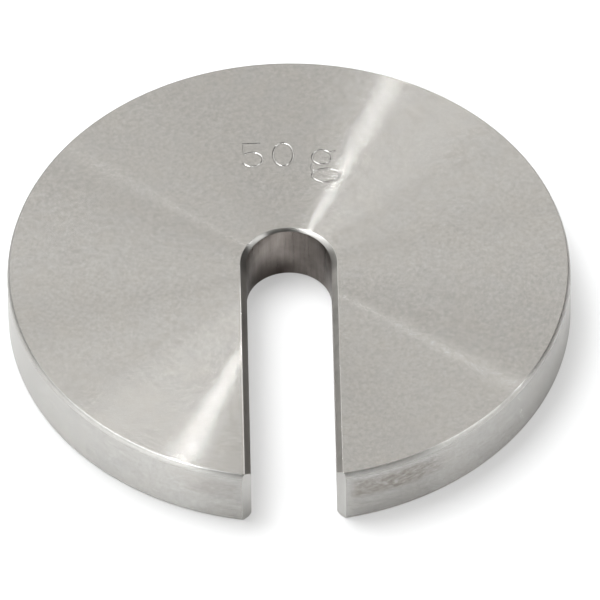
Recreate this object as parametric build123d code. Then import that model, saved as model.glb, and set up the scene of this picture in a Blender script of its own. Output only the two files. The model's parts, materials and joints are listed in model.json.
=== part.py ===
from build123d import *
import math
import os

# Slotted weight: a flat steel disc, turned on its faces and rim, with one radial slot
# that lets it slide sideways onto the stem of a weight hanger.
#
# Row frame, in mm: the disc's axis is Z, the lower face lies on Z = 0 and +Z is up,
# the slot opens towards -Y, and the origin is on the axis in the lower face.

# ---- Driving dimensions ----
disc_diameter = 42.4        # over the rim
disc_thickness = 5.0        # face to face
rim_chamfer = 0.17          # 45 degree break round the upper and the lower rim
slot_width = 6.4            # clear width between the slot's two walls
slot_end_past_axis = 0.7    # centre of the half-round end, beyond the disc's axis
slot_chamfer = 0.45         # 45 degree countersink along the slot's upper edges
countersink_stop = 0.23     # the countersink turns back this far short of the slot's centre
slot_edge_break = 0.17      # 45 degree break along the slot's lower edges
mouth_flat = 0.65           # width of the flat milled off each corner of the slot's mouth
mouth_flat_angle = 45.0     # degrees, between that flat and the slot's wall

# ---- Sizes that follow ----
disc_radius = disc_diameter / 2
slot_radius = slot_width / 2
overrun = disc_radius / 4   # how far each cutter runs on, clear of the steel
cut_height = disc_thickness + 2 * overrun
mouth_start = -(disc_radius + overrun)      # where the tools enter, outside the rim


def turned_blank():
    """The disc as it leaves the lathe: one half section turned about Z."""
    section = Polyline(
        (0, 0),
        (disc_radius - rim_chamfer, 0),
        (disc_radius, rim_chamfer),
        (disc_radius, disc_thickness - rim_chamfer),
        (disc_radius - rim_chamfer, disc_thickness),
        (0, disc_thickness),
        close=True,
    )
    return revolve(Plane.XZ * make_face(section), Axis.Z)


def stem_slot():
    """The end mill's path: a straight run in from the rim to a half-round end."""
    run_length = slot_end_past_axis - mouth_start
    run = Pos(0, mouth_start + run_length / 2) * Rectangle(slot_width, run_length)
    outline = run + Pos(0, slot_end_past_axis) * Circle(slot_radius)
    return Pos(0, 0, -overrun) * extrude(outline, amount=cut_height)


def countersink_pass(depth, end_y):
    """A 90 degree countersink drawn along the slot, for a face at Z = 0 with air above.

    At Z = 0 it is wider than the slot by depth on each side, and it turns back at end_y.
    """
    half_foot = slot_radius                     # at the bottom of the cut
    half_head = slot_radius + depth + overrun   # at the top of the tool, clear of the face
    low = -depth
    high = overrun
    profile = Polyline(
        (-half_foot, low),
        (half_foot, low),
        (half_head, high),
        (-half_head, high),
        close=True,
    )
    trough = extrude(Plane.XZ * make_face(profile), amount=end_y - mouth_start)
    tool_end = Cone(half_foot, half_head, high - low, align=(Align.CENTER, Align.CENTER, Align.MIN))
    return Pos(0, end_y, 0) * trough + Pos(0, end_y, low) * tool_end


def mouth_corner():
    """The wedge outside the flat that takes off the mouth's corner on the +X side."""
    flat_run = mouth_flat / math.tan(math.radians(mouth_flat_angle))
    rim_x = slot_radius + mouth_flat
    rim_y = -math.sqrt(disc_radius ** 2 - rim_x ** 2)
    # The flat goes from the rim at (rim_x, rim_y) back to the slot's wall at
    # (slot_radius, rim_y + flat_run); the wedge's long side runs on past both.
    inner = (slot_radius - mouth_flat, rim_y + 2 * flat_run)
    outer = (rim_x + overrun, rim_y - overrun * flat_run / mouth_flat)
    wedge = make_face(Polyline(inner, outer, (inner[0], outer[1]), close=True))
    return Pos(0, 0, -overrun) * extrude(wedge, amount=cut_height)


def slotted_weight():
    """The finished weight, one solid."""
    upper_face = Pos(0, 0, disc_thickness)
    lower_face = Rot(0, 180, 0)
    corner = mouth_corner()
    body = turned_blank() - stem_slot()
    body -= corner
    body -= mirror(corner, Plane.YZ)
    body -= upper_face * countersink_pass(slot_chamfer, slot_end_past_axis - countersink_stop)
    body -= lower_face * countersink_pass(slot_edge_break, slot_end_past_axis)
    return body


weight = slotted_weight()
weight.label = "slotted_weight"
print(f"volume {weight.volume:.1f} mm3")
os.makedirs("parts", exist_ok=True)
export_step(weight, "parts/slotted_weight.step")
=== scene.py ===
# Looks of the slotted calibration weight: turned and milled stainless steel on a white floor.
# The mesh is built in millimetres and scaled to metres at the end of its making. The materials,
# camera and lamps work in metres.
import json
import math

import bmesh
import bpy
from mathutils import Matrix, Vector


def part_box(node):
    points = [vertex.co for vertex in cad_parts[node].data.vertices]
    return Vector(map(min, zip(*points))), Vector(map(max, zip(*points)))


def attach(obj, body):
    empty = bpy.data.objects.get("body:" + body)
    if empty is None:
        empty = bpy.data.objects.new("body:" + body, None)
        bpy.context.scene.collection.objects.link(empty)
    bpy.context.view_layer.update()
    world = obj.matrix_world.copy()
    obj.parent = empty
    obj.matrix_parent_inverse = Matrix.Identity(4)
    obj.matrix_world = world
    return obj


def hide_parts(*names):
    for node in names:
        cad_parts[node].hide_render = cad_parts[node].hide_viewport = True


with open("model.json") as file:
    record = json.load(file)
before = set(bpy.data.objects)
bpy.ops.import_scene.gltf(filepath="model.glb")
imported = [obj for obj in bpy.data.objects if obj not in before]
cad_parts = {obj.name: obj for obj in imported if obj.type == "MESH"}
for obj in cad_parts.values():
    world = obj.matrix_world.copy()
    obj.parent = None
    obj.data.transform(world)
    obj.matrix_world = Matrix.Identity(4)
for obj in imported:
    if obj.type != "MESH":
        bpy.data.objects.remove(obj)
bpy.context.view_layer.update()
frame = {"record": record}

MM = 0.001

# ---- Sizes of the solid, in mm, from the frame where it holds them ----
NODE = "slotted_weight"
low_corner, high_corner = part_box(NODE)
DISC_RADIUS = (high_corner[0] - low_corner[0]) / 2 / MM
THICKNESS = (high_corner[2] - low_corner[2]) / MM
stem_slot = next(m for m in frame["record"]["mounts"] if m["name"] == "stem_slot")
SLOT_RADIUS = stem_slot["dims"]["r_mm"]
SLOT_END_Y = stem_slot["pos_m"][1] / MM
RIM_EDGE_WIDTH = 0.24       # the rim's upper edge is polished off: this far in across the face
RIM_EDGE_DROP = 0.60        # and this far down the wall, in one even curve
RIM_FOOT_WIDTH = 0.15       # its lower edge is only broken: this far in
RIM_FOOT_RISE = 0.25        # and this far up
SLOT_CHAMFER = 0.45         # of the slot's upper edges
COUNTERSINK_STOP = 0.23     # the countersink turns back this far before the slot's end
SLOT_EDGE_BREAK = 0.17      # of the slot's lower edges
MOUTH_FLAT = 0.65           # taken off each corner of the mouth, across the slot and along it
EDGE_ROUNDING = 0.035       # the hair's breadth of rounding that deburring leaves on each edge
OVERRUN = 4.0               # how far the cutting solids run on, clear of the steel
MOUTH_START = -(DISC_RADIUS + OVERRUN)

RIM_SEGMENTS = 320
RIM_EDGE_STEPS = 8
RIM_FOOT_STEPS = 4
SLOT_END_SEGMENTS = 64
EDGE_ROUNDING_STEPS = 2
GROOVE_CUTTER_STEPS = 6

SAME_POINT = 1e-4           # points nearer than this are joined
CLOSED_GAP = 1e-6           # a stroke whose ends are nearer than this is a closed one
SAME_PLANE = math.radians(0.2)
SHARP_EDGE = math.radians(25)   # edges that turn more than this are rounded
SHARP_SHADING = math.radians(28)
LARGE_FACES_FIRST = 100     # the weight that keeps flat faces flat in the shading


# ---- Materials ----
# Noise is given by its features per metre, its detail and the share of that detail, and a bump
# by its strength and its depth in metres. Four places in mm are where a mark starts, is full,
# begins to fade and ends, and two are the ends of one change.
NOISE_LOW = 0.3             # most of a noise's values lie between these
NOISE_HIGH = 0.7

STEEL_WARM = (0.608, 0.592, 0.564)
STEEL_COOL = (0.602, 0.592, 0.572)
STEEL_PATCHES = (420.0, 3.0, 0.55)

GROOVE_SPREAD = 0.16        # slope of the turning grooves' sides on the faces
WALL_COARSER = 0.9          # how much steeper they are on the rim's wall, as a share of that
GROOVE_REACH = 1.94         # of the draw for a slope; at 2 the steepest would stand upright
GROOVE_RUN_ON = -1.3        # a step up counts as this step outward, so they go on down the wall
FEED_RINGS = (5200.0, 3.0, 0.6)
FEED_SLOPE = 0.035          # slope of the broader rings that the tool's feed leaves
GRIT = (11000.0, 2.0, 0.6)
GRIT_BUMP = (0.4, 0.5e-6)
TURNED_ANISOTROPY = 1.0
ANISOTROPY_TURN = 0.25      # of a full turn, which makes the metal glossier along its grooves

SPECKLE = (3500.0, 4.0, 0.72)
SPECKLE_TONE = 0.082        # lighter and darker by this share of the colour
SPECKLE_ROUGHNESS = (0.22, 0.19)
HANDLING = (170.0, 2.0, 0.5)
HANDLING_SHARES = (0.7, 1.3)    # of the speckle, from patch to patch
DRAWN_LINES = (520.0, 4.0, 0.7)
DRAWN_FLATNESS = 9.0        # how level the lines lie that are drawn round the rim's wall
DRAWN_TONE = 0.07
RIM_EDGE_DULLER = 0.14      # roughness added where the rim's edge is half way round

RUB_STROKES = (2000.0, 3.0, 0.7)
RUB_FLATNESS = 3.0
RUB_AMOUNTS = (-0.1, 1.4)
RUB_HEIGHTS = (1.9, 2.6, 3.7, 4.3)
RUB_RIGHT = (3.9, 5.0, 9.0, 12.5)
RUB_LEFT = (-9.0, -6.5, -4.6, -3.6)
RUB_LEFT_SHARE = 0.4        # the left side is rubbed less
RUB_FRONT = -17.0           # only the rim's wall lies beyond this
RUB_COLOUR = (0.66, 0.62, 0.59)

# Painted highlight, a bright thread along the slot's left edge on the upper face:
PAINTED_HIGHLIGHT_OUT = (0.10, 0.03)     # from the countersink's edge, across the face
PAINTED_HIGHLIGHT_ABOVE = 0.9            # share of the thickness; the lower face has none
PAINTED_HIGHLIGHT_FADING = (-2.5, -0.5)  # towards the round end
PAINTED_HIGHLIGHT_TONE = 1.65

# Painted shade on the rim's upper edge, which dims its highlight on the left:
PAINTED_EDGE_SHADE_STEEPNESS = (0.01, 0.05, 0.45, 0.70)    # of the rim's edge, from 0 level to 1 upright
PAINTED_EDGE_SHADE_SIDE = (-3.0, 3.0)  # full on the left of these, and none on the right
PAINTED_EDGE_SHADE_TONE = 0.72

# Painted shade on the slot's round end: darker at its foot, at its sides and to the right.
PAINTED_SHADE_SIDES = (2.7, 3.5)    # out from the slot's middle
PAINTED_SHADE_FOOT = (0.3, 3.0)     # up from the floor, fading
PAINTED_SHADE_FOOT_RIGHT = (-1.0, 2.5)  # the foot's painted shade fades towards the right as well
PAINTED_SHADE_RIGHT = (-0.6, 0.9)   # to the right of this the whole height is darker
PAINTED_SHADE_RIGHT_AMOUNT = 0.36
PAINTED_SHADE_FORWARD = 1.0         # from the round end's centre; the straight walls have none
PAINTED_SHADE_COLOUR = (0.30, 0.28, 0.27)

# Painted light and shade on the countersink: brighter straight runs, most on the right, and a
# darker round end:
COUNTERSINK_FADING = (-0.6, 0.6)    # from the straight runs to the round end
COUNTERSINK_SIDES = (-1.0, 1.0)
COUNTERSINK_LEFT_SHARE = 0.4    # of the right run's brightness
COUNTERSINK_ROUND_PAINTED_SHADE = 0.86
COUNTERSINK_STRAIGHT_PAINTED_LIGHT = 1.5

CUTTER_DETAIL = (4.0, 0.65)
CUTTER_FLATNESS = 0.08      # far below 1, so the cutter's marks stand upright
CUTTER_BUMP = (0.6, 6.0e-6)
CUTTER_ANISOTROPY = 0.7
CUTTER_ROUGHNESS_RANGE = 0.04
STAINS = (700.0, 2.0, 0.5)

UP = (0.0, 0.0, 1.0)


def new_material(name):
    material = bpy.data.materials.new(name)
    material.use_nodes = True
    material.node_tree.nodes.clear()
    return material


def grey(level):
    return (level, level, level)


class Shader:
    """Short calls for building the nodes of one material, or of the world."""

    def __init__(self, owner):
        self.nodes = owner.node_tree.nodes
        self.links = owner.node_tree.links

    def add(self, kind, inputs=None, **settings):
        made = self.nodes.new(kind)
        for name, value in settings.items():
            setattr(made, name, value)
        for name, value in (inputs or {}).items():
            if isinstance(value, bpy.types.NodeSocket):
                self.links.new(value, made.inputs[name])
            else:
                made.inputs[name].default_value = value
        return made

    def math(self, operation, first, second=0.0):
        made = self.add("ShaderNodeMath", {0: first, 1: second}, operation=operation)
        return made.outputs[0]

    def product(self, first, *factors):
        for factor in factors:
            first = self.math("MULTIPLY", first, factor)
        return first

    def inverse(self, value):
        """What is missing from the value to 1."""
        return self.math("SUBTRACT", 1.0, value)

    def vector(self, operation, first, second=(0.0, 0.0, 0.0)):
        made = self.add("ShaderNodeVectorMath", {0: first, 1: second}, operation=operation)
        return made.outputs[0]

    def axes(self, place):
        return self.add("ShaderNodeSeparateXYZ", {0: place}).outputs

    def flattened(self, place, factor):
        """The place with its height multiplied: noise drawn there lies flatter above 1, and
        stands upright below 1."""
        return self.vector("MULTIPLY", place, (1.0, 1.0, factor))

    def scaled(self, direction, amount):
        made = self.add("ShaderNodeVectorMath", {0: direction, "Scale": amount}, operation="SCALE")
        return made.outputs[0]

    def noise(self, where, scale, detail, roughness):
        made = self.add(
            "ShaderNodeTexNoise",
            {"Vector": where, "Scale": scale, "Detail": detail, "Roughness": roughness},
        )
        return made.outputs["Fac"]

    def spread(self, value, low, high):
        """Maps a noise value, centred on a half, to the range low to high."""
        made = self.add(
            "ShaderNodeMapRange",
            {
                "Value": value,
                "From Min": NOISE_LOW,
                "From Max": NOISE_HIGH,
                "To Min": low,
                "To Max": high,
            },
        )
        return made.outputs[0]

    def rings(self, where, scale, detail, roughness):
        """Noise that changes only with the one coordinate given."""
        line = self.add("ShaderNodeCombineXYZ", {0: where}).outputs[0]
        return self.noise(line, scale, detail, roughness)

    def groove_slope(self, where, spread):
        """A slope drawn afresh for each place, as the sides of fine grooves give it."""
        drawn = self.add("ShaderNodeTexWhiteNoise", {"W": where}, noise_dimensions="1D")
        even = self.product(self.math("SUBTRACT", drawn.outputs["Value"], 0.5), GROOVE_REACH)
        rest = self.math("SQRT", self.inverse(self.product(even, even)))
        return self.product(self.math("DIVIDE", even, rest), spread)

    def ramp(self, value, start, end):
        """Runs smoothly from 0 at start to 1 at end."""
        made = self.add(
            "ShaderNodeMapRange",
            {"Value": value, "From Min": start, "From Max": end},
            interpolation_type="SMOOTHSTEP",
        )
        return made.outputs[0]

    def ramp_mm(self, value, start, end):
        return self.ramp(value, start * MM, end * MM)

    def band(self, value, start, full, fading, end):
        """One between full and fading, and nothing outside start and end."""
        rising = self.ramp(value, start, full)
        return self.product(rising, self.inverse(self.ramp(value, fading, end)))

    def band_mm(self, value, start, full, fading, end):
        return self.band(value, start * MM, full * MM, fading * MM, end * MM)

    def blend_colours(self, factor, first, second):
        made = self.add("ShaderNodeMix", data_type="RGBA")
        self.links.new(factor, made.inputs["Factor"])
        colour_a, colour_b, colour_result = made.inputs[6], made.inputs[7], made.outputs[2]
        colour_a.default_value = (*first, 1.0)
        colour_b.default_value = (*second, 1.0)
        return colour_result

    def colour_factor(self, amount, colour):
        """Leaves what it multiplies as it is where the amount is 0; at 1 it is the colour."""
        return self.blend_colours(amount, grey(1.0), colour)

    def bump(self, height, strength, distance, normal=None):
        inputs = {"Height": height, "Strength": strength, "Distance": distance}
        if normal is not None:
            inputs["Normal"] = normal
        return self.add("ShaderNodeBump", inputs).outputs[0]

    def metal(self, colour, roughness, anisotropic, along, normal):
        """Bare metal, glossier along its grooves than across them."""
        made = self.add(
            "ShaderNodeBsdfPrincipled",
            {
                "Base Color": colour,
                "Metallic": 1.0,
                "Roughness": roughness,
                "Anisotropic": anisotropic,
                "Anisotropic Rotation": ANISOTROPY_TURN,
                "Tangent": along,
                "Normal": normal,
            },
        )
        self.add("ShaderNodeOutputMaterial", {"Surface": made.outputs[0]})


def rub_marks(s, place, axes):
    """Colour factor for the brownish rubbing that runs along the rim on both sides of the mouth."""
    strokes = s.noise(s.flattened(place, RUB_FLATNESS), *RUB_STROKES)
    height = s.band_mm(axes[2], *RUB_HEIGHTS)
    right = s.band_mm(axes[0], *RUB_RIGHT)
    left = s.band_mm(axes[0], *RUB_LEFT)
    sides = s.math("ADD", right, s.product(left, RUB_LEFT_SHARE))
    front = s.math("LESS_THAN", axes[1], RUB_FRONT * MM)
    amount = s.product(height, sides, front, s.spread(strokes, *RUB_AMOUNTS))
    return s.colour_factor(amount, RUB_COLOUR)


def slot_edge_painted_highlight(s, axes):
    """Colour factor of a painted highlight: a bright thread along the slot's left edge, on the
    upper face.
    """
    edge = -(SLOT_RADIUS + SLOT_CHAMFER)
    start, full = PAINTED_HIGHLIGHT_OUT
    painted_highlight_line = s.product(
        s.ramp_mm(axes[0], edge - start, edge - full),
        s.math("LESS_THAN", axes[0], 0.0),
        s.math("GREATER_THAN", axes[2], THICKNESS * PAINTED_HIGHLIGHT_ABOVE * MM),
        s.inverse(s.ramp_mm(axes[1], *PAINTED_HIGHLIGHT_FADING)),
    )
    return s.colour_factor(painted_highlight_line, grey(PAINTED_HIGHLIGHT_TONE))


def rim_edge_painted_shade(s, steep, axes):
    """Colour factor of painted shade on the rim's upper edge, darker on the left, which dims its
    highlight there.
    """
    edge = s.band(steep, *PAINTED_EDGE_SHADE_STEEPNESS)
    left = s.inverse(s.ramp_mm(axes[0], *PAINTED_EDGE_SHADE_SIDE))
    return s.colour_factor(s.product(edge, left), grey(PAINTED_EDGE_SHADE_TONE))


def turned_tilt(s, facing, across, radius, height, steep):
    """The way the sides of the turning grooves face."""
    where = s.math("ADD", radius, s.product(height, GROOVE_RUN_ON))
    slope = s.groove_slope(where, GROOVE_SPREAD)
    slope = s.product(slope, s.math("ADD", 1.0, s.product(steep, WALL_COARSER)))
    feed = s.spread(s.rings(where, *FEED_RINGS), -FEED_SLOPE, FEED_SLOPE)
    slope = s.math("ADD", slope, feed)
    return s.vector("NORMALIZE", s.vector("ADD", facing, s.scaled(across, slope)))


def turned_colour(s, place, axes, steep, speckle):
    tint = s.blend_colours(
        s.spread(s.noise(place, *STEEL_PATCHES), 0.0, 1.0), STEEL_WARM, STEEL_COOL
    )
    handled = s.spread(s.noise(place, *HANDLING), *HANDLING_SHARES)
    grain = s.product(s.spread(speckle, -SPECKLE_TONE, SPECKLE_TONE), handled)
    drawn = s.noise(s.flattened(place, DRAWN_FLATNESS), *DRAWN_LINES)
    grain = s.math("ADD", grain, s.product(s.spread(drawn, -DRAWN_TONE, DRAWN_TONE), steep))
    colour = s.scaled(tint, s.math("ADD", 1.0, grain))
    # Rub marks are the steel's own; the thread along the slot's edge is a painted highlight, and
    # the rim's edge has painted shade.
    for wear_and_painted_light in (rub_marks(s, place, axes), slot_edge_painted_highlight(s, axes), rim_edge_painted_shade(s, steep, axes)):
        colour = s.vector("MULTIPLY", colour, wear_and_painted_light)
    return colour


def turned_steel():
    """Lathe-turned steel. Its grooves run round the axis, so it spreads a reflection across
    them and hardly at all along them, which draws each lamp out into a spoke."""
    material = new_material("turned_steel")
    s = Shader(material)
    coordinates = s.add("ShaderNodeTexCoord")
    place = coordinates.outputs["Object"]
    facing = coordinates.outputs["Normal"]
    along = s.vector("NORMALIZE", s.vector("CROSS_PRODUCT", UP, place))
    across = s.vector("CROSS_PRODUCT", along, facing)
    axes = s.axes(place)
    outward = s.add("ShaderNodeVectorMath", {0: s.flattened(place, 0.0)}, operation="LENGTH")
    steep = s.inverse(s.math("ABSOLUTE", s.axes(facing)[2]))
    speckle = s.noise(place, *SPECKLE)

    tilted = turned_tilt(s, facing, across, outward.outputs["Value"], axes[2], steep)
    normal = s.bump(s.noise(place, *GRIT), *GRIT_BUMP, normal=tilted)
    rounded = s.product(steep, s.inverse(steep), 4.0)   # 1 half way round the rim's edge
    roughness = s.math(
        "ADD", s.spread(speckle, *SPECKLE_ROUGHNESS), s.product(rounded, RIM_EDGE_DULLER)
    )
    colour = turned_colour(s, place, axes, steep, speckle)
    s.metal(colour, roughness, TURNED_ANISOTROPY, along, normal)
    return material


def slot_end_painted_shade(s, place):
    """Colour factor of painted shade for the slot's round end: darker at its foot and where it
    meets the sides.
    """
    axes = s.axes(place)
    sides = s.ramp_mm(s.math("ABSOLUTE", axes[0]), *PAINTED_SHADE_SIDES)
    foot = s.product(
        s.inverse(s.ramp_mm(axes[2], *PAINTED_SHADE_FOOT)),
        s.inverse(s.ramp_mm(axes[0], *PAINTED_SHADE_FOOT_RIGHT)),
    )
    right = s.product(s.ramp_mm(axes[0], *PAINTED_SHADE_RIGHT), PAINTED_SHADE_RIGHT_AMOUNT)
    dark = s.math("MAXIMUM", s.math("MAXIMUM", sides, foot), right)
    inside = s.math("GREATER_THAN", axes[1], (SLOT_END_Y - PAINTED_SHADE_FORWARD) * MM)
    return s.colour_factor(s.product(dark, inside), PAINTED_SHADE_COLOUR)


def countersink_painted_light(s, place):
    """Colour factor of painted light and shade for the countersink: its straight runs are brighter,
    most on the right, and its round end darker.
    """
    axes = s.axes(place)
    straight = s.inverse(s.ramp_mm(axes[1], *COUNTERSINK_FADING))
    right = s.product(s.ramp_mm(axes[0], *COUNTERSINK_SIDES), 1.0 - COUNTERSINK_LEFT_SHARE)
    brighter = s.product(straight, s.math("ADD", COUNTERSINK_LEFT_SHARE, right))
    return s.blend_colours(
        brighter, grey(COUNTERSINK_ROUND_PAINTED_SHADE), grey(COUNTERSINK_STRAIGHT_PAINTED_LIGHT)
    )


def milled_steel(name, light, dark, roughness, streaks, round_edge=False, painted_light=None):
    """End-milled steel of two colours, with streaks upright side by side, so many to the metre.
    It is glossier along them, or along the slot's edge where round_edge is set. Painted_light is a
    function that gives a colour factor of painted light and shade."""
    material = new_material(name)
    s = Shader(material)
    coordinates = s.add("ShaderNodeTexCoord")
    place = coordinates.outputs["Object"]
    marks = s.noise(s.flattened(place, CUTTER_FLATNESS), streaks, *CUTTER_DETAIL)
    mixed = s.product(s.math("ADD", marks, s.noise(place, *STAINS)), 0.5)
    colour = s.blend_colours(s.spread(mixed, 0.0, 1.0), dark, light)
    if painted_light:
        colour = s.vector("MULTIPLY", colour, painted_light(s, place))
    if round_edge:
        along = s.vector("CROSS_PRODUCT", UP, coordinates.outputs["Normal"])
        along = s.vector("NORMALIZE", along)
    else:
        along = s.add("ShaderNodeCombineXYZ", {2: 1.0}).outputs[0]
    gloss = s.spread(marks, roughness - CUTTER_ROUGHNESS_RANGE, roughness + CUTTER_ROUGHNESS_RANGE)
    normal = s.bump(marks, *CUTTER_BUMP)
    s.metal(colour, gloss, CUTTER_ANISOTROPY, along, normal)
    return material


TURNED = turned_steel()
# The slot wall's dark colours are partly the milled steel's own and partly painted shade of the
# slot.
WALL = milled_steel(
    # The slot's round end gets painted shade from its colour factor.
    "milled_slot_wall", (0.45, 0.41, 0.38), (0.20, 0.176, 0.16), 0.30, 2400.0, painted_light=slot_end_painted_shade
)
COUNTERSINK = milled_steel(
    "countersunk_edge", (0.54, 0.53, 0.51), (0.44, 0.43, 0.41), 0.33, 1800.0,
    round_edge=True, painted_light=countersink_painted_light,
)
FLAT = milled_steel("milled_corner_flat", (0.60, 0.59, 0.57), (0.52, 0.51, 0.49), 0.34, 1600.0)
GROOVE = milled_steel("engraved_groove", (0.64, 0.63, 0.61), (0.50, 0.49, 0.47), 0.24, 3000.0)


# ---- Solids for the mesh, in mm ----
def object_from(bm, name, material):
    bmesh.ops.recalc_face_normals(bm, faces=bm.faces)
    mesh = bpy.data.meshes.new(name)
    bm.to_mesh(mesh)
    bm.free()
    mesh.materials.append(material)
    made = bpy.data.objects.new(name, mesh)
    bpy.context.scene.collection.objects.link(made)
    return made


def quarter_ellipse(across, along, steps):
    """Points from the wall to the face, as distances from both; each step turns as far."""
    points = []
    for step in range(steps + 1):
        turned = math.pi / 2 * step / steps
        angle = math.atan2(along * math.sin(turned), across * math.cos(turned))
        points.append((across * (1 - math.cos(angle)), along * (1 - math.sin(angle))))
    return points


def rim_profile():
    """Radius and height of the points from the lower face, up the rim, to the upper face."""
    foot = quarter_ellipse(RIM_FOOT_WIDTH, RIM_FOOT_RISE, RIM_FOOT_STEPS)
    brow = quarter_ellipse(RIM_EDGE_WIDTH, RIM_EDGE_DROP, RIM_EDGE_STEPS)
    lower = [(DISC_RADIUS - inward, height) for inward, height in reversed(foot)]
    return lower + [(DISC_RADIUS - inward, THICKNESS - drop) for inward, drop in brow]


def lathe_blank():
    """Disc about Z with its rim rounded off at both faces. Its corners are half a step round, so
    that none lies on the slot's centre plane."""
    profile = rim_profile()
    bm = bmesh.new()
    rings = []
    for radius, height in profile:
        ring = []
        for step in range(RIM_SEGMENTS):
            angle = math.tau * (step + 0.5) / RIM_SEGMENTS
            ring.append(bm.verts.new((radius * math.cos(angle), radius * math.sin(angle), height)))
        rings.append(ring)
    for below, above in zip(rings, rings[1:]):
        for step in range(RIM_SEGMENTS):
            after = (step + 1) % RIM_SEGMENTS
            bm.faces.new((below[step], below[after], above[after], above[step]))
    bm.faces.new(rings[0])
    bm.faces.new(rings[-1])
    return object_from(bm, "weight_disc", TURNED)


def loft(name, material, lower, low_z, upper, high_z):
    """Closed solid between two outlines with as many points each."""
    bm = bmesh.new()
    bottom = [bm.verts.new((x, y, low_z)) for x, y in lower]
    top = [bm.verts.new((x, y, high_z)) for x, y in upper]
    for step in range(len(bottom)):
        after = (step + 1) % len(bottom)
        bm.faces.new((bottom[step], bottom[after], top[after], top[step]))
    bm.faces.new(bottom)
    bm.faces.new(top)
    return object_from(bm, name, material)


def slot_outline(half_width, end_y):
    """A straight run in from outside the rim, with a half-round end centred at end_y."""
    outline = [(half_width, MOUTH_START)]
    for step in range(SLOT_END_SEGMENTS + 1):
        angle = math.pi * step / SLOT_END_SEGMENTS
        outline.append((half_width * math.cos(angle), end_y + half_width * math.sin(angle)))
    outline.append((-half_width, MOUTH_START))
    return outline


def slot_cutter():
    outline = slot_outline(SLOT_RADIUS, SLOT_END_Y)
    return loft("slot_cutter", WALL, outline, -OVERRUN, outline, THICKNESS + OVERRUN)


def upper_countersink():
    turn_back = SLOT_END_Y - COUNTERSINK_STOP
    foot = slot_outline(SLOT_RADIUS, turn_back)
    head = slot_outline(SLOT_RADIUS + SLOT_CHAMFER + OVERRUN, turn_back)
    foot_z = THICKNESS - SLOT_CHAMFER
    return loft("upper_countersink", COUNTERSINK, foot, foot_z, head, THICKNESS + OVERRUN)


def lower_edge_break():
    foot = slot_outline(SLOT_RADIUS, SLOT_END_Y)
    head = slot_outline(SLOT_RADIUS + SLOT_EDGE_BREAK + OVERRUN, SLOT_END_Y)
    return loft("lower_edge_break", COUNTERSINK, head, -OVERRUN, foot, SLOT_EDGE_BREAK)


def corner_cutter(side):
    """Wedge outside the 45 degree flat at one corner of the mouth; side is -1 or +1."""
    rim_x = SLOT_RADIUS + MOUTH_FLAT
    rim_y = -math.sqrt(DISC_RADIUS ** 2 - rim_x ** 2)
    inner = (side * (SLOT_RADIUS - MOUTH_FLAT), rim_y + 2 * MOUTH_FLAT)
    outer = (side * (rim_x + OVERRUN), rim_y - OVERRUN)
    outline = [inner, outer, (inner[0], outer[1])]
    return loft("corner_cutter", FLAT, outline, -OVERRUN, outline, THICKNESS + OVERRUN)


def evaluated_mesh(thing):
    bpy.context.view_layer.update()
    depsgraph = bpy.context.evaluated_depsgraph_get()
    return bpy.data.meshes.new_from_object(thing.evaluated_get(depsgraph))


def bake_modifiers(thing):
    mesh = evaluated_mesh(thing)
    thing.modifiers.clear()
    thing.data = mesh


def cut(body, cutter):
    """Takes the cutter away from the body; the cut faces keep the cutter's material."""
    boolean = body.modifiers.new("cut", "BOOLEAN")
    boolean.operation = "DIFFERENCE"
    boolean.solver = "EXACT"
    boolean.material_mode = "TRANSFER"
    boolean.use_self = True
    boolean.object = cutter
    bake_modifiers(body)
    bpy.data.objects.remove(cutter)


def tidy_mesh(body):
    """Joins faces that lie in one plane and points that lie in one place."""
    bm = bmesh.new()
    bm.from_mesh(body.data)
    bmesh.ops.remove_doubles(bm, verts=bm.verts, dist=SAME_POINT)
    bmesh.ops.dissolve_limit(
        bm, angle_limit=SAME_PLANE, verts=bm.verts, edges=bm.edges, delimit={"MATERIAL"}
    )
    bm.to_mesh(body.data)
    bm.free()


def weigh_sharp_edges(body):
    """Marks the edges for rounding: all that turn sharply, but for those of the marking."""
    groove = body.data.materials.find(GROOVE.name)
    bm = bmesh.new()
    bm.from_mesh(body.data)
    weights = bm.edges.layers.float.new("bevel_weight_edge")
    for edge in bm.edges:
        engraved = any(face.material_index == groove for face in edge.link_faces)
        if not engraved and edge.calc_face_angle(0.0) > SHARP_EDGE:
            edge[weights] = 1.0
    bm.to_mesh(body.data)
    bm.free()


def round_edges(body):
    weigh_sharp_edges(body)
    bevel = body.modifiers.new("rounding", "BEVEL")
    bevel.limit_method = "WEIGHT"
    bevel.width = EDGE_ROUNDING
    bevel.segments = EDGE_ROUNDING_STEPS
    bevel.use_clamp_overlap = False
    bake_modifiers(body)


# ---- The marking: nominal mass, engraved with a ball-nosed cutter along single strokes ----
GROOVE_WIDTH = 0.19
GROOVE_DEPTH = 0.06
DIGIT_HEIGHT = 2.35
BASE_LINE = 10.4            # of the digits, from the disc's axis towards +Y
FIVE_LEFT = -3.36           # left sides of the characters
NOUGHT_LEFT = -0.98
SMALL_G_LEFT = 1.92
ARC_STEPS = 28


def arc(centre, radii, start, end):
    """Points along an ellipse's arc, angles in degrees, anticlockwise where end is larger."""
    points = []
    for step in range(ARC_STEPS + 1):
        angle = math.radians(start + (end - start) * step / ARC_STEPS)
        x = centre[0] + radii[0] * math.cos(angle)
        y = centre[1] + radii[1] * math.sin(angle)
        points.append((x, y))
    return points


# Each character is a list of strokes, drawn in mm from its left side and the base line.
def five(left):
    bowl = (0.78, 0.72)
    middle = (left + 0.8, BASE_LINE + bowl[1])
    top = BASE_LINE + DIGIT_HEIGHT
    bar = [(left + 1.42, top), (left + 0.12, top), (left + 0.16, BASE_LINE + 1.3)]
    return [bar + arc(middle, bowl, 125, -155)]


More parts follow.
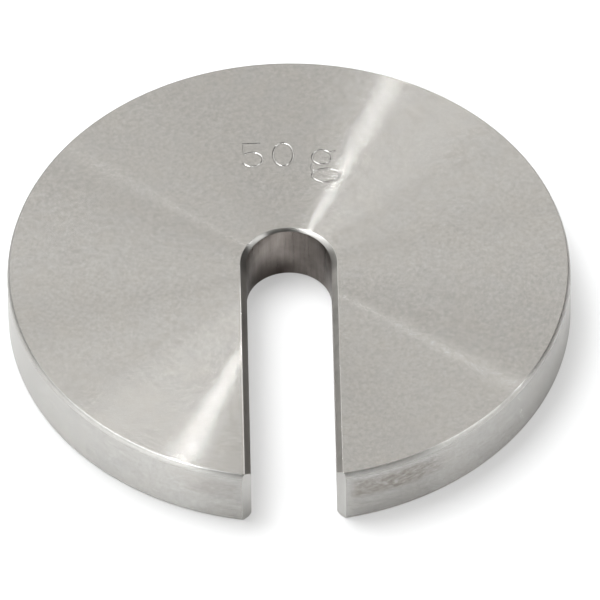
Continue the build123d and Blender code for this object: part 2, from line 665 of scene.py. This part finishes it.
def nought(left):
    radii = (0.76, DIGIT_HEIGHT / 2)
    return [arc((left + radii[0], BASE_LINE + radii[1]), radii, 0, 360)]


def small_g(left):
    bowl = (0.73, 0.72)
    bowl_middle = (left + 0.78, BASE_LINE + 0.12 + bowl[1])
    loop = (1.04, 0.68)
    loop_middle = (left + 1.05, BASE_LINE - 1.02)
    ear = [(left + 1.33, BASE_LINE + 1.32), (left + 1.85, BASE_LINE + 1.45)]
    link = arc((left + 0.22, BASE_LINE - 0.16), (0.24, 0.37), 100, 250)
    return [arc(bowl_middle, bowl, 0, 360), link, arc(loop_middle, loop, 0, 360), ear]


def stroke_cutter(points):
    """Round bar along one stroke, its axis a little above the face."""
    bar_radius = (GROOVE_WIDTH ** 2 / 4 + GROOVE_DEPTH ** 2) / (2 * GROOVE_DEPTH)
    height = THICKNESS - GROOVE_DEPTH + bar_radius
    closed = math.dist(points[0], points[-1]) < CLOSED_GAP
    if closed:
        points = points[:-1]
    curve = bpy.data.curves.new("stroke", "CURVE")
    curve.dimensions = "3D"
    curve.bevel_depth = bar_radius
    curve.bevel_resolution = GROOVE_CUTTER_STEPS
    curve.use_fill_caps = True
    line = curve.splines.new("POLY")
    line.points.add(len(points) - 1)
    for point, (x, y) in zip(line.points, points):
        point.co = (x, y, height, 1.0)
    line.use_cyclic_u = closed
    drawn = bpy.data.objects.new("stroke", curve)
    bpy.context.scene.collection.objects.link(drawn)
    mesh = evaluated_mesh(drawn)
    bpy.data.objects.remove(drawn)
    mesh.materials.clear()
    mesh.materials.append(GROOVE)
    cutter = bpy.data.objects.new("stroke_cutter", mesh)
    bpy.context.scene.collection.objects.link(cutter)
    return cutter


def joined(parts):
    first = parts[0]
    bm = bmesh.new()
    for part in parts:
        bm.from_mesh(part.data)
    bm.to_mesh(first.data)
    bm.free()
    for part in parts[1:]:
        bpy.data.objects.remove(part)
    return first


def engrave(body):
    strokes = five(FIVE_LEFT) + nought(NOUGHT_LEFT) + small_g(SMALL_G_LEFT)
    cut(body, joined([stroke_cutter(stroke) for stroke in strokes]))


def finish_shading(body):
    body.data.transform(Matrix.Scale(MM, 4))
    body.data.shade_smooth()
    body.data.set_sharp_from_angle(angle=SHARP_SHADING)
    weighted = body.modifiers.new("flat faces stay flat", "WEIGHTED_NORMAL")
    weighted.keep_sharp = True
    weighted.weight = LARGE_FACES_FIRST
    bake_modifiers(body)


def build_weight():
    body = lathe_blank()
    engrave(body)
    cut(body, slot_cutter())
    for side in (-1, 1):
        cut(body, corner_cutter(side))
    cut(body, upper_countersink())
    cut(body, lower_edge_break())
    tidy_mesh(body)
    round_edges(body)
    finish_shading(body)
    return body


weight = build_weight()
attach(weight, "root")
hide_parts(NODE)


# ---- Floor ----
FLOOR_HALF_WIDTH = 1.5      # m
FLOOR_COLOUR = (0.50, 0.50, 0.50, 1.0)
FLOOR_WEAVE = (60.0, 2.0, 0.5)
FLOOR_BUMP = (0.05, 1.0e-5)
BACKGROUND_SEEN = 0.36      # plain white that is added to the lit card for the camera
BACKGROUND_MIRRORED = 0.21  # and for what the metal mirrors


def floor_material():
    """Card that takes the object's shadow. The rest of its white is plain background, so that no
    lamp has to be turned up for it."""
    material = new_material("white_floor")
    s = Shader(material)
    place = s.add("ShaderNodeTexCoord").outputs["Object"]
    bump = s.bump(s.noise(place, *FLOOR_WEAVE), *FLOOR_BUMP)
    card = s.add("ShaderNodeBsdfDiffuse", {"Color": FLOOR_COLOUR, "Normal": bump})
    rays = s.add("ShaderNodeLightPath")
    glossy, clear = rays.outputs["Is Glossy Ray"], rays.outputs["Is Transmission Ray"]
    seen = s.product(rays.outputs["Is Camera Ray"], BACKGROUND_SEEN)
    mirrored = s.product(s.math("MAXIMUM", glossy, clear), BACKGROUND_MIRRORED)
    strength = s.math("ADD", seen, mirrored)
    plain = s.add("ShaderNodeEmission", {"Color": (1.0, 1.0, 1.0, 1.0), "Strength": strength})
    both = s.add("ShaderNodeAddShader", {0: card.outputs[0], 1: plain.outputs[0]})
    s.add("ShaderNodeOutputMaterial", {"Surface": both.outputs[0]})
    return material


def rectangle(name, half_width, half_height, material):
    bm = bmesh.new()
    corners = ((-1, -1), (1, -1), (1, 1), (-1, 1))
    bm.faces.new([bm.verts.new((x * half_width, y * half_height, 0.0)) for x, y in corners])
    return object_from(bm, name, material)


def add_floor():
    floor = rectangle("floor", FLOOR_HALF_WIDTH, FLOOR_HALF_WIDTH, floor_material())


# ---- Camera ----
CAMERA_ELEVATION = math.radians(47.87)
CAMERA_AZIMUTH = math.radians(-0.59)
CAMERA_ROLL = math.radians(-0.65)
CAMERA_DISTANCE = 1.27          # m, from the picture's centre point on the part
PICTURE_WIDTH = 0.04526         # m, what the frame takes in at that distance
ORIGIN_LEFT = 0.80 * MM         # the part's origin lies this far left of the picture's centre
ORIGIN_BELOW = 0.94 * MM        # and this far below it
SENSOR_WIDTH = 36.0
CLIP_START = 0.1
CLIP_END = 10.0


def add_camera():
    az, el, roll = CAMERA_AZIMUTH, CAMERA_ELEVATION, CAMERA_ROLL
    level_right = Vector((math.cos(az), math.sin(az), 0.0))
    back = Vector((math.sin(az) * math.cos(el), -math.cos(az) * math.cos(el), math.sin(el)))
    level_up = back.cross(level_right)
    right = level_right * math.cos(roll) + level_up * math.sin(roll)
    up = level_up * math.cos(roll) - level_right * math.sin(roll)
    data = bpy.data.cameras.new("camera")
    data.type = "PERSP"
    data.sensor_width = SENSOR_WIDTH
    data.lens = SENSOR_WIDTH * CAMERA_DISTANCE / PICTURE_WIDTH
    data.clip_start = CLIP_START
    data.clip_end = CLIP_END
    camera = bpy.data.objects.new("camera", data)
    target = right * ORIGIN_LEFT + up * ORIGIN_BELOW
    turn = Matrix((right, up, back)).transposed().to_4x4()
    camera.matrix_world = Matrix.Translation(target + back * CAMERA_DISTANCE) @ turn
    bpy.context.scene.collection.objects.link(camera)
    bpy.context.scene.camera = camera


# ---- Light ----
def direction_of(azimuth, elevation):
    az, el = math.radians(azimuth), math.radians(elevation)
    return Vector((math.cos(az) * math.cos(el), math.sin(az) * math.cos(el), math.sin(el)))


def facing_the_part(azimuth, elevation, distance, turn=0.0):
    """Place for a lamp or card that faces the part, its height upright but for the turn. Angles
    are in degrees."""
    back = direction_of(azimuth, elevation)
    right = Vector(UP).cross(back).normalized()
    up = back.cross(right)
    spin = math.radians(turn)
    across = right * math.cos(spin) + up * math.sin(spin)
    upward = up * math.cos(spin) - right * math.sin(spin)
    facing = Matrix((across, upward, back)).transposed().to_4x4()
    return Matrix.Translation(back * distance) @ facing


LAMP_COLOUR = (0.965, 0.985, 1.0)
BLACK_CARD = (0.03, 0.03, 0.03, 1.0)
CARD_NAP = (300.0, 2.0, 0.5)
CARD_BUMP = (0.1, 1.0e-4)


def add_lamp(
    name, azimuth, elevation, distance, size, radiance, turn=0.0, in_metal=True, on_floor=True
):
    """Area lamp. In_metal and on_floor say which of the two it lights, as flags would see to in
    a studio."""
    width, height = size
    data = bpy.data.lights.new(name, "AREA")
    data.shape = "RECTANGLE"
    data.size = width
    data.size_y = height
    data.color = LAMP_COLOUR
    data.energy = radiance * math.pi * width * height
    lamp = bpy.data.objects.new(name, data)
    lamp.matrix_world = facing_the_part(azimuth, elevation, distance, turn)
    lamp.visible_glossy = in_metal
    lamp.visible_diffuse = on_floor
    bpy.context.scene.collection.objects.link(lamp)


def card_material():
    material = new_material("black_card")
    s = Shader(material)
    place = s.add("ShaderNodeTexCoord").outputs["Object"]
    bump = s.bump(s.noise(place, *CARD_NAP), *CARD_BUMP)
    card = s.add("ShaderNodeBsdfDiffuse", {"Color": BLACK_CARD, "Normal": bump})
    s.add("ShaderNodeOutputMaterial", {"Surface": card.outputs[0]})
    return material


def add_card(name, azimuth, elevation, distance, size, material):
    """Black card held out of the picture, which keeps one side of the room dark in the metal."""
    card = rectangle(name, size[0] / 2, size[1] / 2, material)
    card.matrix_world = facing_the_part(azimuth, elevation, distance)
    card.visible_camera = False


ROOM_COLOUR = (1.0, 0.985, 0.958, 1.0)
HORIZON_LIGHT = 0.24
CEILING_LIGHT = 0.79
CEILING_START = 13.0        # degrees above the horizon, where it begins to grow lighter
CEILING_FULL = 30.0         # and where it is full


def add_world():
    """A room that is dim near the floor and evenly light above."""
    world = bpy.data.worlds.new("room")
    world.use_nodes = True
    world.node_tree.nodes.clear()
    s = Shader(world)
    way = s.add("ShaderNodeTexCoord").outputs["Generated"]
    strength = s.add(
        "ShaderNodeMapRange",
        {
            "Value": s.axes(way)[2],
            "From Min": math.sin(math.radians(CEILING_START)),
            "From Max": math.sin(math.radians(CEILING_FULL)),
            "To Min": HORIZON_LIGHT,
            "To Max": CEILING_LIGHT,
        },
        interpolation_type="SMOOTHSTEP",
    )
    light = s.add("ShaderNodeBackground", {"Color": ROOM_COLOUR, "Strength": strength.outputs[0]})
    s.add("ShaderNodeOutputWorld", {"Surface": light.outputs[0]})
    bpy.context.scene.world = world


def add_lights():
    """The room, then each lamp and card by azimuth, elevation, distance and size in metres. A
    lamp's radiance and turn follow."""
    add_world()
    add_lamp("left_wall", 204, 22, 0.60, (0.80, 0.38), 0.96, on_floor=False)
    add_lamp("top_left_softbox", 202, 56, 0.32, (0.24, 0.18), 3.5, on_floor=False)
    add_lamp("back_left_wall", 124, 28, 0.60, (0.22, 0.24), 0.80)
    add_lamp("upper_left_softbox", 160, 47, 0.45, (0.22, 0.13), 1.3)
    add_lamp("key", 198.8, 69.6, 0.40, (0.024, 0.070), 45.0, 46, on_floor=False)
    add_lamp("right_strip", -22, 34, 0.45, (0.22, 0.14), 2.6)
    add_lamp("right_edge", 4.3, 36, 0.28, (0.004, 0.062), 42.0, -28)
    add_lamp("back_right_strip", 32.5, 55, 0.28, (0.004, 0.062), 6.0, -65)
    add_lamp("floor_softbox", 136, 66, 0.40, (0.27, 0.27), 8.9, in_metal=False)
    black = card_material()
    add_card("flag_right", 30, 29, 0.60, (0.44, 0.46), black)
    add_card("flag_front", -80, 29, 0.60, (0.94, 0.60), black)


add_floor()
add_camera()
add_lights()
bpy.context.scene.view_settings.view_transform = "Standard"
